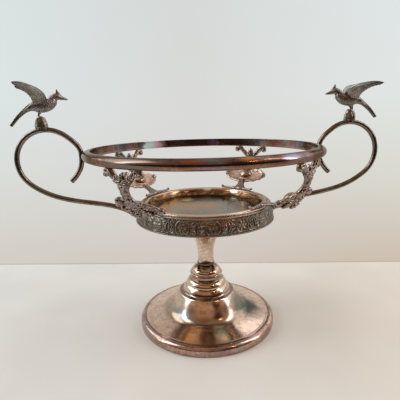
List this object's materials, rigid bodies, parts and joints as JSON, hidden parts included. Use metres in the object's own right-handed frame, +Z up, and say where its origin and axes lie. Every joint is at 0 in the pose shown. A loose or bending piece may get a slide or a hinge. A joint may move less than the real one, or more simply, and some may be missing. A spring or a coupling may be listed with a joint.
{
  "type": "brides basket",
  "caption": "Plated stand: bell foot, slim stem and shallow dish with a stamped apron, cast supports holding a bowl ring, looped side handles with birds",
  "frame": {"origin": "middle of the foot, on the surface that it stands on", "axes": "+Z up; X through the two handles; +X to the right seen from the front; -Y to the front"},
  "size_m": [0.3604, 0.23, 0.2468],
  "materials": {
    "foot_silver": "polished silver plate, warm tarnish",
    "foot_border_silver": "polished silver plate, darker tarnish",
    "stem_silver": "polished silver plate",
    "dish_silver": "polished silver plate, iridescent tarnish",
    "apron_silver": "stamped silver plate, oxidised in the hollows",
    "ring_silver": "polished silver plate, dark tarnish",
    "cast_silver": "cast and plated, oxidised in the hollows",
    "rod_silver": "plated rod, dark tarnish",
    "bird_silver": "cast and plated, dark oxidised",
    "inner_metal": "plain turned metal, dull"
  },
  "bodies": {
    "root": {"foot_shell": "foot_silver", "foot_border": "foot_border_silver", "stem_collar": "stem_silver", "stem_trumpet": "stem_silver", "tie_boss": "inner_metal", "tie_rod": "inner_metal", "tie_washer": "inner_metal", "tie_nut": "inner_metal", "dish": "dish_silver", "apron": "apron_silver", "bowl_ring": "ring_silver", "support_back_right": "cast_silver", "support_back_left": "cast_silver", "support_front_left": "cast_silver", "support_front_right": "cast_silver", "right_handle": "rod_silver", "left_handle": "rod_silver", "right_perch": "bird_silver", "left_perch": "bird_silver", "right_bird_body": "bird_silver", "right_bird_right_wing": "bird_silver", "right_bird_left_wing": "bird_silver", "left_bird_body": "bird_silver", "left_bird_right_wing": "bird_silver", "left_bird_left_wing": "bird_silver"}
  },
  "joints": []
}
